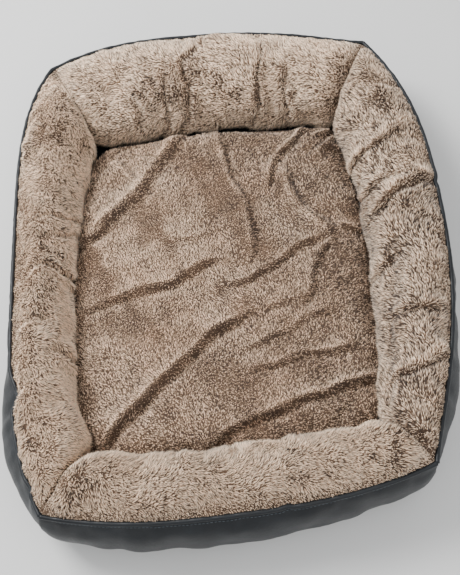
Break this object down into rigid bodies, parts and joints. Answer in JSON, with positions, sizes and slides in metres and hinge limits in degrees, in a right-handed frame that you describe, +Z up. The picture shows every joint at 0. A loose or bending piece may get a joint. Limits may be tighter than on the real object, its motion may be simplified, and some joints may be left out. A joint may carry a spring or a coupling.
{
  "type": "pet bolster bed",
  "caption": "Rectangular bed for a dog or cat: plush-covered stuffed bolsters with imitation-leather outer walls around a nest that holds a removable zipped cushion.",
  "frame": {"origin": "centre of the resting face, on the floor", "axes": "+Z up; +Y from the front bolster to the back bolster, along the bed's length; +X to the right side"},
  "size_m": [0.8806, 1.0902, 0.2002],
  "materials": {
    "wall_leather": "satin",
    "piping_leather": "satin",
    "long_plush": "matte",
    "short_plush": "matte",
    "base_cloth": "matte",
    "fibre_fill": "matte",
    "foam_core": "matte",
    "zip_tape": "matte",
    "zip_teeth": "satin",
    "zip_metal": "satin"
  },
  "bodies": {
    "bolster_frame": {"base_panel": "base_cloth", "front_wall_panel": "wall_leather", "right_wall_panel": "wall_leather", "back_wall_panel": "wall_leather", "left_wall_panel": "wall_leather", "front_piping": "piping_leather", "right_piping": "piping_leather", "back_piping": "piping_leather", "left_piping": "piping_leather", "front_bolster_cover": "long_plush", "right_bolster_cover": "long_plush", "back_bolster_cover": "long_plush", "left_bolster_cover": "long_plush", "front_bolster_fill": "fibre_fill", "right_bolster_fill": "fibre_fill", "back_bolster_fill": "fibre_fill", "left_bolster_fill": "fibre_fill"},
    "cushion": {"cushion_top_panel": "short_plush", "cushion_underside": "short_plush", "cushion_core": "foam_core", "zip_tape_upper": "zip_tape", "zip_tape_lower": "zip_tape", "zip_teeth_upper": "zip_teeth", "zip_teeth_lower": "zip_teeth", "zip_stop_left": "zip_metal", "zip_stop_right": "zip_metal"},
    "slider": {"zip_slider": "zip_metal"},
    "pull": {"zip_pull": "zip_metal"}
  },
  "joints": [
    {"name": "cushion_lift", "type": "slide", "parent": "bolster_frame", "child": "cushion", "axis": [0, 0, 1], "range_m": [0, 0.3]},
    {"name": "zip_travel", "type": "slide", "parent": "cushion", "child": "slider", "axis": [1, 0, 0], "range_m": [0, 0.36]},
    {"name": "zip_pull_swing", "type": "hinge", "parent": "slider", "child": "pull", "pos_m": [-0.184, 0.2993, 0.045], "axis": [1, 0, 0], "range_deg": [-10, 170]}
  ]
}
